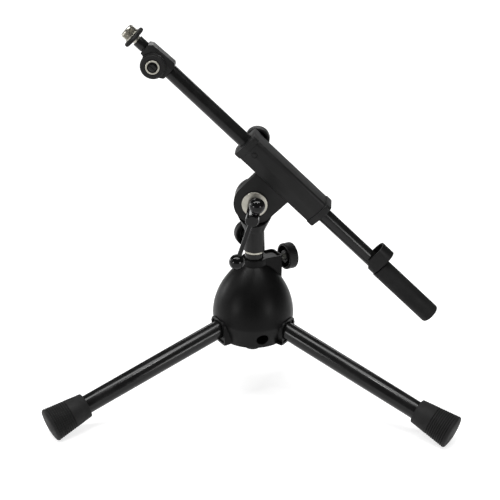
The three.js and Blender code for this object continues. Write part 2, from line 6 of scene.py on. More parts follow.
import bmesh
import bpy
from mathutils import Matrix, Vector


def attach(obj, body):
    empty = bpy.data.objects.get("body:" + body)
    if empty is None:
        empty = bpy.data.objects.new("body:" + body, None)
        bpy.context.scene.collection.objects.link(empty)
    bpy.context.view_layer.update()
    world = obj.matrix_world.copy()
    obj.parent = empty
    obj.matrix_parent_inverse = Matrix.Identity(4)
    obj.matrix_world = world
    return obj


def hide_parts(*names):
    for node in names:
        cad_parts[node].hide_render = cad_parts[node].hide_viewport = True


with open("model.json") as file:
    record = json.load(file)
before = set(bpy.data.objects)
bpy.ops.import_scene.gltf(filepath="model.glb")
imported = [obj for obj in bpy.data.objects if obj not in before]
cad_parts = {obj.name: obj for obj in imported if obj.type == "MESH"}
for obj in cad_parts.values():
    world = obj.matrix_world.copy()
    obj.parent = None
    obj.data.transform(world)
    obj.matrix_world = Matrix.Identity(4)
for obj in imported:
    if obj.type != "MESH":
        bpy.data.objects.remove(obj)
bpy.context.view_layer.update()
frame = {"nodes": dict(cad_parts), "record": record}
scene = bpy.context.scene

MM = 0.001
rad = math.radians

# ---------------------------------------------------------------- dimensions, mm
BASE_YAW = 3
LEG_ANGLES = {"left": 210, "right": 330, "rear": 90}
LEG_SLOPE = 18.5
LEG_AXIS_TOP = 96.1
PIVOT_Z = 223
TILT = 43
TUBE_Z = 41.3
HEAD_X, HEAD_Z, HEAD_R, HEAD_HALF, BLOCK_HALF = -179, 35.5, 13.4, 12.4, 9.4
BAR_Y, BAR_LEAN = -53, 17.5
LOCK_X = -39.4
CLAMP_ANGLE, CLAMP_Z, CLAMP_REACH = 30, 151.7, 30
SWIVEL_LOCK_ANGLE, SWIVEL_LOCK_Z = 111, 178
SOCKET_ANGLE, SOCKET_Z, SOCKET_R, SOCKET_DEPTH = 286, 77.3, 6.7, 13
BELL_BOTTOM, BELL_BOTTOM_R = 66, 35.6
BELL_WIDEST, BELL_R = 93, 44.2
SKIRT_TOP, SKIRT_TOP_R = 88.5, 43.5
COLLAR_TOP, COLLAR_R = 158.8, 13.8
COLUMN_BOTTOM, COLUMN_TOP, COLUMN_R, COLUMN_INNER = 52.7, 164.6, 10, 8.5
LEG_START, LEG_END, LEG_R, LEG_INNER = 21, 252, 10, 8.5
TUBE_START, TUBE_END, TUBE_R, TUBE_INNER = -161.5, 187, 8, 6.5
GAP = 0.3
BOLT_BORE, ROD_BORE, STUD_BORE = 4.3, 2.8, 5.05
BALL_R, EAR_R = 8.4, 22.6

BASE = Matrix.Rotation(rad(BASE_YAW), 4, "Z")
BOOM = Matrix.Translation((0, 0, PIVOT_Z)) @ Matrix.Rotation(rad(TILT), 4, "Y")
PIVOT = Matrix.Translation((0, 0, PIVOT_Z))
TO_X = Matrix.Rotation(rad(90), 4, "Y")
TO_FRONT = Matrix.Rotation(rad(90), 4, "X")
TO_BACK = Matrix.Rotation(rad(-90), 4, "X")


def move(x=0, y=0, z=0):
    return Matrix.Translation((x, y, z))


def about_z(angle):
    return Matrix.Rotation(rad(angle), 4, "Z")


def leg_frame(angle):
    turn = Matrix.Rotation(rad(90 + LEG_SLOPE), 4, "Y")
    return BASE @ about_z(angle) @ move(z=LEG_AXIS_TOP) @ turn


# ---------------------------------------------------------------- mesh building
def fillet(points, steps=5):
    """Rounds each corner given as (x, y, radius); (x, y) stays sharp."""
    out = []
    count = len(points)
    for i, point in enumerate(points):
        here = Vector(point[:2])
        if len(point) < 3 or point[2] <= 0:
            out.append(here)
            continue
        a = Vector(points[i - 1][:2]) - here
        b = Vector(points[(i + 1) % count][:2]) - here
        half = a.angle(b) / 2
        cut = min(point[2] / math.tan(half), a.length * 0.49, b.length * 0.49)
        start = here + a.normalized() * cut
        end = here + b.normalized() * cut
        for k in range(steps + 1):
            t = k / steps
            out.append(start * (1 - t) ** 2 + here * 2 * t * (1 - t) + end * t * t)
    return [(p.x, p.y) for p in out]


def arc(cx, cy, r, start, end, steps=24):
    angles = [rad(start + (end - start) * k / steps) for k in range(steps + 1)]
    return [(cx + r * math.cos(a), cy + r * math.sin(a)) for a in angles]


def bezier(p0, p1, p2, p3, steps=24):
    out = []
    for k in range(steps + 1):
        t = k / steps
        w = ((1 - t) ** 3, 3 * t * (1 - t) ** 2, 3 * t * t * (1 - t), t ** 3)
        out.append(tuple(sum(c * p[i] for c, p in zip(w, (p0, p1, p2, p3))) for i in (0, 1)))
    return out


def ring_of(bm, r, z, segments):
    if r < 1e-6:
        return [bm.verts.new((0, 0, z))]
    step = 2 * math.pi / segments
    return [bm.verts.new((r * math.cos(i * step), r * math.sin(i * step), z)) for i in range(segments)]


def lathe(profile, segments=96, closed=False):
    """Turns (radius, height) points about Z."""
    bm = bmesh.new()
    rings = [ring_of(bm, r, z, segments) for r, z in profile]
    pairs = list(zip(rings, rings[1:]))
    if closed:
        pairs.append((rings[-1], rings[0]))
    for low, high in pairs:
        for i in range(segments):
            j = (i + 1) % segments
            corners = [low[i % len(low)], low[j % len(low)], high[j % len(high)], high[i % len(high)]]
            corners = list(dict.fromkeys(corners))
            if len(corners) > 2:
                bm.faces.new(corners)
    bmesh.ops.recalc_face_normals(bm, faces=bm.faces)
    return bm


def prism(outline, low, high, soft=0.0):
    """Extrudes an outline along Z from low to high, its rims rounded by soft."""
    bm = bmesh.new()
    floor = [bm.verts.new((x, y, low)) for x, y in outline]
    roof = [bm.verts.new((x, y, high)) for x, y in outline]
    bm.faces.new(floor[::-1])
    bm.faces.new(roof)
    rims = []
    for i in range(len(outline)):
        j = (i + 1) % len(outline)
        bm.faces.new((floor[i], floor[j], roof[j], roof[i]))
        rims.append(bm.edges.get((floor[i], floor[j])))
        rims.append(bm.edges.get((roof[i], roof[j])))
    if soft:
        bmesh.ops.bevel(bm, geom=rims, offset=soft, segments=3, profile=0.5,
                        affect="EDGES", clamp_overlap=True)
    bmesh.ops.recalc_face_normals(bm, faces=bm.faces)
    return bm


def along_x(outline, low, high, soft=0.0):
    """A (y, z) outline extruded along X."""
    bm = prism(outline, low, high, soft)
    turn = Matrix(((0, 0, 1, 0), (1, 0, 0, 0), (0, 1, 0, 0), (0, 0, 0, 1)))
    bmesh.ops.transform(bm, matrix=turn, verts=bm.verts)
    return bm


def along_y(outline, low, high, soft=0.0):
    """An (x, z) outline extruded along Y."""
    bm = prism(outline, -high, -low, soft)
    bmesh.ops.transform(bm, matrix=TO_FRONT, verts=bm.verts)
    return bm


def solid(name, bm, matrix=Matrix.Identity(4)):
    """A mesh object in metres from a bmesh in mm."""
    bmesh.ops.transform(bm, matrix=matrix, verts=bm.verts)
    bmesh.ops.scale(bm, vec=(MM, MM, MM), verts=bm.verts)
    mesh = bpy.data.meshes.new(name)
    bm.to_mesh(mesh)
    bm.free()
    obj = bpy.data.objects.new(name, mesh)
    scene.collection.objects.link(obj)
    return obj


def combine(obj, others, operation):
    """Adds or cuts away other solids, which are used up."""
    for other in others:
        step = obj.modifiers.new("combine", "BOOLEAN")
        step.operation = operation
        step.solver = "EXACT"
        step.object = other
    graph = bpy.context.evaluated_depsgraph_get()
    made = bpy.data.meshes.new_from_object(obj.evaluated_get(graph))
    obj.modifiers.clear()
    obj.data = made
    for other in others:
        bpy.data.objects.remove(other)
    return obj


def cylinder(r, low, high, segments=64):
    return lathe([(0, low), (r, low), (r, high), (0, high)], segments)


def cutter(r, low, high, matrix=Matrix.Identity(4), segments=64):
    return solid("cutter", cylinder(r, low, high, segments), matrix)


def block(x0, x1, y0, y1, z0, z1, matrix=Matrix.Identity(4)):
    return solid("block", prism([(x0, y0), (x1, y0), (x1, y1), (x0, y1)], z0, z1), matrix)


def piece(obj, name, body, look, nodes, angle=35):
    """Names a finished piece, shades it and sets it in the CAD nodes' place."""
    obj.name = name
    obj.data.materials.clear()
    obj.data.materials.append(look)
    obj.data.shade_smooth()
    obj.data.set_sharp_from_angle(angle=rad(angle))
    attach(obj, body)
    if nodes:
        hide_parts(*nodes)
    return obj


# ---------------------------------------------------------------- materials
NOISE_LOW, NOISE_HIGH = 0.35, 0.65


class Look:
    """A Principled material with helpers for procedural detail."""

    def __init__(self, name, metallic=0.0, specular=0.5):
        self.material = bpy.data.materials.new(name)
        self.material.use_nodes = True
        self.nodes = self.material.node_tree.nodes
        self.links = self.material.node_tree.links
        self.shader = self.nodes["Principled BSDF"]
        self.shader.inputs["Metallic"].default_value = metallic
        self.shader.inputs["Specular IOR Level"].default_value = specular
        self.place = self.nodes.new("ShaderNodeTexCoord").outputs["Object"]
        self.normal = None

    def noise(self, scale, detail=3.0):
        node = self.nodes.new("ShaderNodeTexNoise")
        node.inputs["Scale"].default_value = scale
        node.inputs["Detail"].default_value = detail
        self.links.new(self.place, node.inputs["Vector"])
        return node.outputs["Fac"]

    def spread(self, fac, low, high):
        node = self.nodes.new("ShaderNodeMapRange")
        node.inputs["From Min"].default_value = NOISE_LOW
        node.inputs["From Max"].default_value = NOISE_HIGH
        node.inputs["To Min"].default_value = low
        node.inputs["To Max"].default_value = high
        self.links.new(fac, node.inputs["Value"])
        return node.outputs["Result"]

    def colour(self, fac, dark, light):
        ramp = self.nodes.new("ShaderNodeValToRGB")
        ramp.color_ramp.elements[0].position = NOISE_LOW
        ramp.color_ramp.elements[0].color = (*dark, 1)
        ramp.color_ramp.elements[1].position = NOISE_HIGH
        ramp.color_ramp.elements[1].color = (*light, 1)
        self.links.new(fac, ramp.inputs["Fac"])
        self.links.new(ramp.outputs["Color"], self.shader.inputs["Base Color"])

    def roughness(self, fac, low, high):
        self.links.new(self.spread(fac, low, high), self.shader.inputs["Roughness"])

    def bump(self, fac, strength, depth_mm):
        node = self.nodes.new("ShaderNodeBump")
        node.inputs["Strength"].default_value = strength
        node.inputs["Distance"].default_value = depth_mm * MM
        self.links.new(fac, node.inputs["Height"])
        if self.normal:
            self.links.new(self.normal, node.inputs["Normal"])
        self.normal = node.outputs["Normal"]
        self.links.new(self.normal, self.shader.inputs["Normal"])


def grey(value):
    return (value, value, value)


def coated(name, dark, light, rough, grain, depth, specular):
    """Powder coat, moulded plastic or rubber: cloudy tone, worn sheen and a fine grain."""
    cloud = 25
    look = Look(name, 0.0, specular)
    clouds = look.noise(cloud, 4)
    look.colour(clouds, grey(dark), grey(light))
    look.roughness(look.noise(cloud * 3, 5), rough[0], rough[1])
    look.bump(look.noise(grain, 2), 0.5, depth)
    look.bump(look.noise(cloud * 6, 2), 0.25, depth)
    return look.material


def enamelled(name, tone, rough, specular):
    """Gloss coat: a faint unevenness and tiny dust specks."""
    look = Look(name, 0.0, specular)
    streaks = look.noise(60, 3)
    look.colour(streaks, grey(tone), grey(tone * 1.5))
    look.roughness(streaks, rough[0], rough[1])
    look.bump(look.noise(700, 2), 0.25, 0.006)
    look.bump(streaks, 0.15, 0.01)
    return look.material


def plated(name, dark, light, rough):
    """Plated or turned metal with a fine grain and a slightly uneven tone."""
    look = Look(name, 1.0)
    look.colour(look.noise(120, 3), dark, light)
    lines = look.noise(300, 4)
    look.roughness(lines, rough[0], rough[1])
    look.bump(lines, 0.15, 0.004)
    return look.material


BELL = coated("bell_black", 0.0018, 0.0028, (0.36, 0.42), 1700, 0.0025, 0.09)
CAST = coated("cast_black", 0.004, 0.007, (0.34, 0.44), 1500, 0.006, 0.2)
HOLDER = coated("holder_black", 0.004, 0.006, (0.4, 0.5), 1300, 0.010, 0.2)
TUBE = enamelled("gloss_tube", 0.004, (0.17, 0.25), 0.22)
GLOSS = enamelled("gloss_bolt", 0.002, (0.05, 0.09), 0.2)
KNOB = coated("knob_black", 0.003, 0.005, (0.45, 0.56), 1600, 0.015, 0.2)
CLIP = coated("clip_black", 0.002, 0.004, (0.4, 0.52), 1500, 0.012, 0.18)
RUBBER = coated("foot_rubber", 0.003, 0.005, (0.6, 0.75), 1100, 0.03, 0.2)
WEIGHT = coated("weight_black", 0.002, 0.0035, (0.55, 0.68), 900, 0.03, 0.18)
NICKEL = plated("nickel", (0.32, 0.31, 0.27), (0.40, 0.385, 0.34), (0.28, 0.36))
STEEL = plated("zinc_steel", (0.20, 0.20, 0.19), (0.30, 0.30, 0.28), (0.3, 0.44))
BRASS = plated("brass_pad", (0.45, 0.32, 0.13), (0.62, 0.46, 0.22), (0.25, 0.4))

SLOT_LOOKS = {
    "bell_black": BELL,
    "cast_black": CAST,
    "holder_black": HOLDER,
    "gloss_tube": TUBE,
    "gloss_bolt": GLOSS,
    "knob_black": KNOB,
    "clip_black": CLIP,
    "foot_rubber": RUBBER,
    "weight_black": WEIGHT,
    "nickel": NICKEL,
    "zinc_steel": STEEL,
    "brass_pad": BRASS,
}
for part in frame["record"]["subparts"]:
    shown = frame["nodes"][part["node"]]
    shown.data.materials.clear()
    shown.data.materials.append(SLOT_LOOKS[part["material_slot"]])


# ---------------------------------------------------------------- turned pieces
def turned(name, body, look, nodes, profile, matrix, segments=96, closed=False, angle=35):
    return piece(solid(name, lathe(profile, segments, closed), matrix), name, body, look, nodes, angle)


def tube_profile(outer, inner, low, high, edge=0.4):
    return fillet([(inner, low, edge), (outer, low, edge), (outer, high, edge), (inner, high, edge)], 3)


def knob(name, body, nodes, radius, low, high, matrix):
    """Round knob, hollow towards the stand, with a finely ribbed rim."""
    rim = 2.6
    profile = fillet([
        (4.3, low + 1, 0.3), (7.2, low + 1, 0.6), (7.2, high - 4, 1.5), (radius - rim, high - 4, 1.2),
        (radius - rim, low, 0.6), (radius, low, 1.0), (radius, high, 1.8), (0, high)], 5)
    profile += [(0, high - 3), (4.3, high - 3)]
    bm = lathe(profile, 240, True)
    for vert in bm.verts:
        around = Vector((vert.co.x, vert.co.y))
        if around.length > radius - 0.5:
            ridge = 0.012 * (1 + math.cos(48 * math.atan2(around.y, around.x))) / 2
            vert.co.x, vert.co.y = around * (1 - ridge)
    return piece(solid(name, bm, matrix), name, body, KNOB, nodes, 40)


def screw(name, body, nodes, low, high, matrix, radius=4.0, pitch=1.25):
    """Threaded clamp screw, its thread as close rings."""
    profile = [(0, low), (radius - 0.9, low)]
    z = low + 0.6
    while z + pitch < high:
        profile += [(radius - 0.55, z), (radius, z + pitch * 0.4), (radius, z + pitch * 0.6)]
        z += pitch
    profile += [(radius - 0.55, z), (radius - 0.4, high), (0, high)]
    return turned(name, body, STEEL, nodes, profile, matrix, 64)


for side, angle in LEG_ANGLES.items():
    turned(f"leg_tube_{side}", "base", TUBE, [f"leg_{side}"],
           tube_profile(LEG_R, LEG_INNER, LEG_START, LEG_END), leg_frame(angle), 128, True)


def foot(side, angle):
    """Rubber cup: smooth where it grips the tube, then nine saw-tooth ribs and a domed end."""
    start, end, narrow, wide = 212.5, 257.8, 13.5, 18.3
    slope = (wide - narrow) / 41.1
    profile = [(LEG_R + GAP, start), (12.8, start), (13.25, start + 0.25), (narrow, start + 0.8)]
    first, pitch = start + 19.5, 2.45
    profile.append((narrow + slope * (first - start), first))
    for k in range(9):
        s = first + 0.2 + k * pitch
        r = 13.55 + slope * (s - start)
        profile += [(r - 0.85, s + 0.25), (r - 0.8, s + 0.6)]
        profile += [(r + 0.1, s + 1.25), (r + 0.25, s + pitch - 0.1)]
    profile += [(wide, end - 3.4), (18.0, end - 2.4), (17.0, end - 1.6)]
    profile += [(13, end - 0.75), (7, end - 0.2), (0, end)]
    profile += [(0, LEG_END + GAP), (LEG_R + GAP, LEG_END + GAP)]
    obj = solid("foot", lathe(profile, 144, True), leg_frame(angle))
    floor = block(150, 300, -40, 40, -20, 0, BASE @ about_z(angle))
    combine(obj, [floor], "DIFFERENCE")
    piece(obj, f"rubber_foot_{side}", "base", RUBBER, [f"foot_{side}"], 40)


for side, angle in LEG_ANGLES.items():
    foot(side, angle)

# ---------------------------------------------------------------- base casting
CLAMP = BASE @ about_z(CLAMP_ANGLE)


def bell_profile():
    """Thin shell with a guide tube inside it; the column's bore is cut later."""
    guide, wall = 9, 3.6
    skirt, widest = (43.35, 88), (BELL_R, BELL_WIDEST)
    outer = [(35.0, BELL_BOTTOM), (BELL_BOTTOM_R, BELL_BOTTOM + 0.4), skirt]
    outer += bezier(skirt, (43.9, 89.5), (BELL_R, 90.5), widest, 12)[1:]
    outer += bezier(widest, (BELL_R, 118.5), (29, 139), (15.2, 150.6), 36)[1:]
    outer += [(14.2, 151.3), (COLLAR_R, 152.0)]
    outer += fillet([(COLLAR_R, 152.2), (COLLAR_R, COLLAR_TOP, 0.8), (guide, COLLAR_TOP)], 4)[1:]
    inside = (BELL_R - wall, BELL_WIDEST)
    inner = [(guide, 74), (15, 74)] + bezier((15, 137), (26, 134), (inside[0], 116), inside, 16)
    inner += [(SKIRT_TOP_R - wall, SKIRT_TOP), (32.2, BELL_BOTTOM)]
    return outer + inner


def boss_outline(inset):
    """Leg boss as (y, z): flat below, straight sides and a round top."""
    half, side, top, bottom = 14.5 - inset, 85, 95.5 - inset, 66.5 + inset
    points = fillet([(-half, bottom, 2.2), (half, bottom, 2.2), (half, side)], 4)
    points += bezier((half, side), (half, top - 2), (half * 0.6, top), (0, top), 10)[1:]
    points += bezier((0, top), (-half * 0.6, top), (-half, top - 2), (-half, side), 10)[1:]
    return points


def clamp_block():
    """Arm of the height clamp, its top sunk inside a chamfered rim."""
    def outline(near, far, half, corner):
        corners = ((near, -half), (far, -half), (far, half), (near, half))
        return fillet([(x, y, corner) for x, y in corners], 4)
    side, over = 10.8, COLLAR_TOP + 6.2
    arm = fillet([(0, -side), (CLAMP_REACH, -side, 2.4), (CLAMP_REACH, side, 2.4), (0, side)], 5)
    arm_block = solid("arm", prism(arm, 118, COLLAR_TOP, 0.7), CLAMP)
    tray = solid("tray", prism(outline(16.2, 27.8, 8.6, 1.5), COLLAR_TOP - 2, over), CLAMP)
    rim = solid("rim", prism(outline(15.4, 28.6, 9.4, 2.3), COLLAR_TOP - 0.7, over, 0.8), CLAMP)
    return combine(arm_block, [tray, rim], "DIFFERENCE")


def base_housing():
    boss_face, boss_foot = 42.6, 66.5
    lean = move(boss_face, 0, boss_foot) @ Matrix.Rotation(rad(5.5), 4, "Y") @ move(-boss_face, 0, -boss_foot)
    body = solid("base", lathe(bell_profile(), 128, True), BASE)
    slope = math.atan2(SKIRT_TOP_R - BELL_BOTTOM_R, SKIRT_TOP - BELL_BOTTOM)
    socket_r = BELL_BOTTOM_R + (SOCKET_Z - BELL_BOTTOM) * math.tan(slope)
    on_skirt = BASE @ about_z(SOCKET_ANGLE) @ move(socket_r, 0, SOCKET_Z)
    on_skirt = on_skirt @ Matrix.Rotation(slope - rad(90), 4, "Y")
    added = [clamp_block(), cutter(9, 1.8, SOCKET_DEPTH + 2.6, on_skirt, 48)]
    holes = []
    for angle in LEG_ANGLES.values():
        turn = BASE @ about_z(angle)
        boss = solid("boss", along_x(boss_outline(0), 13, boss_face, 0.9), turn @ lean)
        recess = solid("recess", along_x(boss_outline(2.4), 41.2, 50), turn @ lean)
        added.append(combine(boss, [recess], "DIFFERENCE"))
        below_leg = leg_frame(angle) @ move(z=36) @ Matrix.Rotation(rad(-90), 4, "Y")
        holes.append(cutter(LEG_R + GAP, LEG_START - 0.5, 80, leg_frame(angle)))
        holes.append(cutter(BOLT_BORE, -28, -13.2, below_leg, 32))
    combine(body, added, "UNION")
    holes.append(cutter(COLUMN_R + GAP, 40, 200, BASE, 128))
    holes.append(cutter(4.4, 5, 40, CLAMP @ move(z=CLAMP_Z) @ TO_X, 32))
    mouth = SOCKET_R + 0.7
    socket = fillet([(0, -8), (mouth, -8), (mouth, 0), (SOCKET_R, 0.8),
                     (SOCKET_R, SOCKET_DEPTH), (0, SOCKET_DEPTH)], 1)
    holes.append(solid("socket", lathe(socket, 64), on_skirt))
    combine(body, holes, "DIFFERENCE")
    piece(body, "bell_casting", "base", BELL, ["base_housing"], 28)


base_housing()
AT_CLAMP = CLAMP @ move(z=CLAMP_Z) @ TO_X
screw("height_screw", "base_clamp", ["base_clamp_screw"], 16.3, 45.2, AT_CLAMP)
knob("height_knob", "base_clamp", ["base_clamp_knob"], 14.5, 37.5, 48.5, AT_CLAMP)

# ---------------------------------------------------------------- column and swivel
turned("column_pipe", "column", TUBE, ["column_tube"],
       tube_profile(COLUMN_R, COLUMN_INNER, COLUMN_BOTTOM, COLUMN_TOP, 0.5), Matrix.Identity(4), 128, True)
turned("column_band", "column", NICKEL, ["column_ring"],
       fillet([(STUD_BORE, 164.9), (10.15, 164.9, 0.4), (10.15, 167.2, 0.4), (STUD_BORE, 167.2)], 4),
       Matrix.Identity(4), 128, True)

AT_SWIVEL_LOCK = about_z(SWIVEL_LOCK_ANGLE) @ move(z=SWIVEL_LOCK_Z) @ TO_X


def swivel_body():
    """Stem with a flared neck, cut flat behind, and the rear ear of the tilt clamp."""
    foot, step, back = 167.5, 5.4, 14
    profile = fillet([(STUD_BORE, foot), (11.5, foot, 0.7), (10.6, 190, 6), (18.4, 207, 3),
                      (18.4, 222), (0, 222)], 6)
    profile += [(0, 188.4), (STUD_BORE, 188.4)]
    stem = solid("stem", lathe(profile, 128, True))
    behind = block(-30, 30, back, 40, 150, 260)
    boss = cutter(6.5, 7.2, 15.5, AT_SWIVEL_LOCK, 48)
    combine(stem, [behind], "DIFFERENCE")
    combine(stem, [boss], "UNION")
    combine(stem, [cutter(24.5, -40, step, PIVOT @ TO_BACK, 128)], "DIFFERENCE")
    ear_profile = fillet([(0, step), (EAR_R, step, 0.8), (EAR_R, back, 1.2), (0, back)], 4)
    ear = solid("ear", lathe(ear_profile, 128), PIVOT @ TO_BACK)
    combine(stem, [ear], "UNION")
    bores = [cutter(BOLT_BORE, -40, 40, PIVOT @ TO_BACK, 48), cutter(BOLT_BORE, 0, 30, AT_SWIVEL_LOCK, 48)]
    combine(stem, bores, "DIFFERENCE")
    piece(stem, "swivel_casting", "swivel", CAST, ["swivel_body"], 30)


swivel_body()
screw("swivel_screw", "swivel_lock", ["swivel_lock_screw"], 5.05, 24.6, AT_SWIVEL_LOCK)
knob("swivel_knob", "swivel_lock", ["swivel_lock_knob"], 15, 18.6, 28, AT_SWIVEL_LOCK)

# ---------------------------------------------------------------- tilt clamp
bolt_profile = [(0, -25)] + fillet([(4, -25, 0.6), (4, 10.6), (7.6, 10.6, 0.5), (7.6, 18), (7.1, 22),
                                    (7.0, 58.5, 2.2), (0, 58.5)], 6)
bolt = solid("bolt", lathe(bolt_profile, 128), PIVOT @ TO_FRONT)
cross = PIVOT @ move(y=BAR_Y) @ Matrix.Rotation(rad(BAR_LEAN), 4, "Y")
combine(bolt, [cutter(ROD_BORE, -20, 20, cross, 48)], "DIFFERENCE")
piece(bolt, "tilt_screw_hub", "tilt_screw", GLOSS, ["tilt_bolt"], 35)
turned("tilt_plate", "tilt_screw", NICKEL, ["tilt_washer"],
       fillet([(BOLT_BORE, 8.3), (13.75, 8.3, 0.4), (13.75, 10.3, 0.6), (BOLT_BORE, 10.3)], 4),
       PIVOT @ TO_FRONT, 128, True)
turned("cross_rod", "cross_bar", GLOSS, ["cross_bar_rod"],
       fillet([(0, -55.6), (2.5, -55.6, 0.5), (2.5, 20.9, 0.5), (0, 20.9)], 3), cross, 48)


def ball(name, node, centre, socket):
    profile = [(BALL_R * math.cos(rad(a)), BALL_R * math.sin(rad(a))) for a in range(-90, 91, 5)]
    profile[0], profile[-1] = (0, -BALL_R), (0, BALL_R)
    obj = solid(name, lathe(profile, 96), cross @ move(z=centre))
    combine(obj, [cutter(ROD_BORE, *socket, cross @ move(z=centre), 48)], "DIFFERENCE")
    piece(obj, name, "cross_bar", GLOSS, [node], 40)


ball("cross_ball_upper", "cross_bar_ball_upper", 15.9, (-12, 5.3))
ball("cross_ball_lower", "cross_bar_ball_lower", -50.6, (-5.3, 12))


# ---------------------------------------------------------------- boom holder
def holder_section(extra):
    top, bottom = 54.7 + extra, 26.4 - extra
    wide, narrow = 15.5 + extra, 10.5 + extra
    return fillet([(-narrow, bottom, 2.4), (narrow, bottom, 2.4), (wide, 40, 6), (wide, top, 4.5),
                   (-wide, top, 4.5), (-wide, 40, 6)], 6)


def tube_bore():
    return cutter(TUBE_R + GAP, -80, 80, BOOM @ move(z=TUBE_Z) @ TO_X, 96)


def boom_holder():
    bar = solid("bar", along_x(holder_section(0), -46.4, 52, 0.3), BOOM)
    outline = arc(0, 0, EAR_R, 180, 360, 48) + [(23.8, 30), (-EAR_R, 30)]
    ear = solid("ear", along_y(outline, -8, 3.6, 1.0), BOOM)
    boss = solid("boss", lathe(fillet([(0, 10), (6.4, 10), (6.4, 30.5, 0.6), (0, 30.5)], 3), 64),
                 BOOM @ move(LOCK_X, 0, TUBE_Z) @ TO_BACK)
    combine(bar, [ear, boss], "UNION")
    mark = solid("mark", lathe([(3.5, 14.5), (3.5, 20), (2.2, 20), (2.2, 14.5)], 48, True),
                 BOOM @ move(LOCK_X, 0, TUBE_Z) @ TO_FRONT)
    bores = [tube_bore(), mark, cutter(BOLT_BORE, -40, 40, PIVOT @ TO_BACK, 48)]
    bores.append(cutter(BOLT_BORE, 0, 40, BOOM @ move(LOCK_X, 0, TUBE_Z) @ TO_BACK, 48))
    combine(bar, bores, "DIFFERENCE")
    piece(bar, "holder_casting", "holder", HOLDER, ["boom_holder"], 30)


def holder_cap(name, node, start):
    cap = solid(name, along_x(holder_section(0.7), start, start + 7.3, 1.2), BOOM)
    combine(cap, [tube_bore()], "DIFFERENCE")
    piece(cap, name, "holder", HOLDER, [node], 30)


boom_holder()
holder_cap("end_cap_upper", "holder_cap_upper", -54)
holder_cap("end_cap_lower", "holder_cap_lower", 52.3)
AT_BOOM_LOCK = BOOM @ move(LOCK_X, 0, TUBE_Z) @ TO_BACK
screw("boom_screw", "boom_clamp", ["boom_clamp_screw"], 15.3, 42, AT_BOOM_LOCK)
knob("boom_knob", "boom_clamp", ["boom_clamp_knob"], 13.3, 34, 45.2, AT_BOOM_LOCK)

# ---------------------------------------------------------------- boom tube and load
ON_TUBE = BOOM @ move(z=TUBE_Z) @ TO_X
turned("boom_pipe", "boom", TUBE, ["boom_tube"],
       tube_profile(TUBE_R, TUBE_INNER, TUBE_START, TUBE_END), ON_TUBE, 96, True)


def cable_clip():
    """Strap round the tube that rises into a tall loop, cut back at a slant underneath."""
    def outline(half):
        return arc(0, 0, half, 180, 360, 40) + arc(0, 11.6, half, 0, 180, 40)
    at = BOOM @ move(z=TUBE_Z)
    strap = solid("strap", along_x(outline(10.2), 131, 146.4, 0.5), at)
    inside = solid("inside", along_x(outline(8.3), 120, 160), at)
    under = solid("under", along_y([(129, 1), (129, -14), (143.5, -14)], -20, 20), at)
    combine(strap, [inside, under], "DIFFERENCE")
    piece(strap, "cable_holder", "boom", CLIP, ["cable_clip"], 30)


cable_clip()
weight_profile = fillet([(TUBE_R + GAP, 147.8, 0.3), (11, 147.8, 1.0), (11, 227, 3.2), (0, 227),
                         (0, TUBE_END + 1), (TUBE_R + GAP, TUBE_END + 1)], 8)
weight = solid("weight", lathe(weight_profile, 128, True), ON_TUBE)
combine(weight, [cutter(2.3, 4, 20, BOOM @ move(x=168, z=TUBE_Z), 32)], "DIFFERENCE")
piece(weight, "weight_bar", "boom", WEIGHT, ["counterweight"], 35)


# ---------------------------------------------------------------- head
def head_outline():
    outline = fillet([(HEAD_X + 12.4, HEAD_Z - 5.1), (-161.7, 33, 1.5), (-162, 49.6, 1.0), (-164.6, 52, 1.5),
                      (-193.6, 50.6, 1.5), (-197, 47.6, 1.0), (-197, 36, 0.5), (HEAD_X - HEAD_R, HEAD_Z)], 3)
    return outline + arc(HEAD_X, HEAD_Z, HEAD_R, 180, 360 - 22.4, 36)[1:-1]


AT_HEAD = BOOM @ move(HEAD_X, 0, HEAD_Z)


def cheek_cuts():
    """Wedges that lean the block's two cheeks in towards its top."""
    wedge = [(-BLOCK_HALF - 1, 44.2), (-BLOCK_HALF + 4.6, 53), (-BLOCK_HALF - 1, 60)]
    mirrored = [(-y, z) for y, z in reversed(wedge)]
    return [solid("cheek", along_x(outline, -200, -158), BOOM) for outline in (wedge, mirrored)]


def ear_disc(low, high):
    r = HEAD_R + 0.05
    profile = fillet([(0, low), (r, low, 0.4), (r, high, 0.8), (0, high)], 4)
    return solid("disc", lathe(profile, 96), AT_HEAD @ TO_BACK)


def head_socket():
    whole = solid("whole", along_y(head_outline(), -BLOCK_HALF, BLOCK_HALF, 0.8), BOOM)
    cuts = [block(-210, -186.3, -40, 40, 0, 80, BOOM), cutter(HEAD_R + GAP, -40, 0.15, AT_HEAD @ TO_BACK, 96)]
    cuts.append(block(-210, HEAD_X + 13, -40, 0.15, 0, HEAD_Z, BOOM))
    combine(whole, cuts + cheek_cuts(), "DIFFERENCE")
    plug = cutter(TUBE_INNER - GAP, -163, -143, ON_TUBE, 64)
    combine(whole, [ear_disc(0.15, HEAD_HALF), plug], "UNION")
    combine(whole, [cutter(ROD_BORE, -40, 40, AT_HEAD @ TO_FRONT, 48)], "DIFFERENCE")
    piece(whole, "head_block", "boom", CAST, ["head_socket"], 30)


def head_yoke():
    whole = solid("whole", along_y(head_outline(), -BLOCK_HALF, BLOCK_HALF, 0.8), BOOM)
    cuts = [block(-186.6, -150, -40, 40, 0, 80, BOOM), cutter(HEAD_R + GAP, -0.15, 40, AT_HEAD @ TO_BACK, 96)]
    combine(whole, cuts + cheek_cuts(), "DIFFERENCE")
    combine(whole, [ear_disc(-HEAD_HALF, -0.15)], "UNION")
    combine(whole, [cutter(ROD_BORE, -40, 40, AT_HEAD @ TO_FRONT, 48)], "DIFFERENCE")
    piece(whole, "head_fork", "head", CAST, ["head_yoke"], 30)


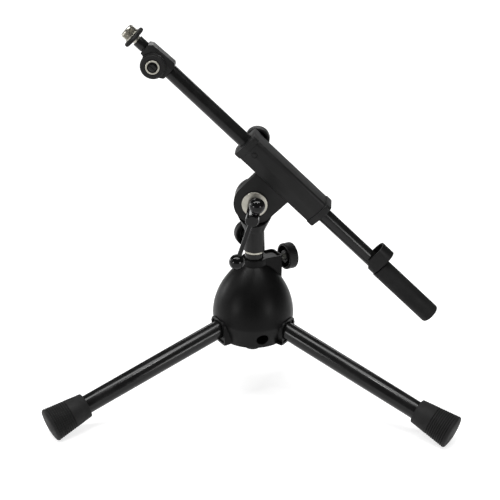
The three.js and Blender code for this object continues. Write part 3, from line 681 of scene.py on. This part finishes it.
head_socket()
head_yoke()
FACE = HEAD_HALF + GAP
HEAD_FRONT = AT_HEAD @ TO_FRONT
turned("head_disc", "head", KNOB, ["head_cap"],
       fillet([(ROD_BORE, FACE), (12.6, FACE, 0.3), (12.6, FACE + 2.4, 1.0), (8.2, FACE + 2.4, 0.3),
               (7.8, FACE + 1.9), (4.8, FACE + 1.9), (4.4, FACE + 2.4), (ROD_BORE, FACE + 2.4)], 4),
       HEAD_FRONT, 128, True)
turned("head_ring", "head", NICKEL, ["head_inlay"],
       fillet([(5.6, FACE + 2.0), (7.4, FACE + 2.0), (7.4, FACE + 3.2, 0.3), (5.6, FACE + 3.2, 0.3)], 3),
       HEAD_FRONT, 96, True)

ON_NECK = BOOM @ move(z=TUBE_Z) @ Matrix.Rotation(rad(-90), 4, "Y")
turned("neck_sleeve", "head", TUBE, ["head_neck"],
       tube_profile(6.1, STUD_BORE, 197.3, 207.6, 0.5), ON_NECK, 96, True)


def lock_ring():
    low, high, ring_r = 210.2, 214.4, 12.6
    profile = fillet([(STUD_BORE, low, 0.3), (ring_r, low, 2.0),
                      (ring_r, high, 2.0), (STUD_BORE, high, 0.3)], 6)
    bm = lathe(profile, 288, True)
    for vert in bm.verts:
        r = math.hypot(vert.co.x, vert.co.y)
        if r > 12.0:
            turn = math.atan2(vert.co.y, vert.co.x)
            factor = 1 - 0.025 * (1 + math.cos(turn * 72)) / 2
            vert.co.x *= factor
            vert.co.y *= factor
    ring = solid("ring", bm, ON_NECK)
    piece(ring, "neck_lock_ring", "lock_ring_body", KNOB, ["lock_ring"], 25)


def thread_adapter():
    root, crest, pitch, end = 7.3, 7.95, 0.94, 223.6
    profile = fillet([(STUD_BORE, 214.7), (8.6, 214.7, 0.4), (8.6, 215.7, 0.4), (root, 215.7)], 3)
    z = 215.9
    while z + pitch < 222.9:
        profile += [(root, z), (crest, z + 0.36), (crest, z + 0.54)]
        z += pitch
    profile += [(root, z), (7.2, 223.2), (6.9, end), (STUD_BORE, end)]
    obj = solid("adapter", lathe(profile, 96, True), ON_NECK)
    combine(obj, [block(-10, 10, -1, 1, 220.6, 228, ON_NECK)], "DIFFERENCE")
    piece(obj, "neck_adapter", "adapter", NICKEL, ["thread_adapter"], 30)


lock_ring()
thread_adapter()


# ---------------------------------------------------------------- studio
def studio_floor():
    mesh = bpy.data.meshes.new("floor")
    mesh.from_pydata([(-6, -6, 0), (6, -6, 0), (6, 6, 0), (-6, 6, 0)], [], [(0, 1, 2, 3)])
    obj = bpy.data.objects.new("floor", mesh)
    scene.collection.objects.link(obj)
    look = Look("floor_paper", 0.0, 0.1)
    look.colour(look.noise(2, 3), (0.42, 0.42, 0.42), (0.45, 0.45, 0.45))
    look.roughness(look.noise(8, 3), 0.8, 0.95)
    look.shader.inputs["Emission Color"].default_value = (1, 1, 1, 1)
    look.shader.inputs["Emission Strength"].default_value = 0.74
    obj.data.materials.append(look.material)


def softbox(name, at, aim, width, height, power):
    data = bpy.data.lights.new(name, "AREA")
    data.shape = "RECTANGLE"
    data.size, data.size_y = width, height
    data.energy = power
    obj = bpy.data.objects.new(name, data)
    obj.location = at
    obj.rotation_euler = (Vector(aim) - Vector(at)).to_track_quat("-Z", "Y").to_euler()
    scene.collection.objects.link(obj)


def sky():
    world = bpy.data.worlds.new("studio")
    scene.world = world
    world.use_nodes = True
    back = world.node_tree.nodes["Background"]
    back.inputs["Color"].default_value = (1, 1, 1, 1)
    back.inputs["Strength"].default_value = 0.1


def camera():
    tilt, distance, aim = rad(23), 1.6, Vector((-0.0045, 0, 0.1666))
    turn = Matrix.Rotation(rad(BASE_YAW), 3, "Z")
    aim = turn @ aim
    back = turn @ Vector((0, -math.cos(tilt), math.sin(tilt)))
    data = bpy.data.cameras.new("camera")
    view_width = 0.5 / 0.926
    data.sensor_width = 36
    data.lens = data.sensor_width * distance / view_width
    data.clip_end = 50
    obj = bpy.data.objects.new("camera", data)
    obj.location = aim + back * distance
    look = (-back).to_track_quat("-Z", "Y").to_matrix()
    obj.rotation_euler = (look @ Matrix.Rotation(rad(1), 3, "Z")).to_euler()
    scene.collection.objects.link(obj)
    scene.camera = obj


studio_floor()
sky()
softbox("overhead", (0, -0.25, 2.3), (0, 0, 0), 2.6, 0.7, 62)
softbox("back", (0, 2.2, 1.15), (0, 0, 0.2), 2.0, 0.5, 14)
softbox("right_front", (1.36, -1.18, 0.4), (0, 0, 0.1), 0.55, 0.4, 8)
softbox("left_front", (-1.36, -1.18, 0.4), (0, 0, 0.1), 0.55, 0.4, 8)
softbox("left_back", (-1.9, 0.9, 0.45), (0, 0, 0.2), 0.5, 0.6, 8)
softbox("left_strip", (-1.65, -0.1, 0.75), (0, 0, 0.2), 0.16, 1.0, 3)
softbox("left_lamp", (-1.07, -0.26, 1.6), (0, 0, 0.2), 0.2, 0.2, 7)
softbox("top_lamp", (0.16, -0.75, 2.0), (0, 0, 0.2), 0.2, 0.2, 7)
camera()
scene.view_settings.view_transform = "Standard"
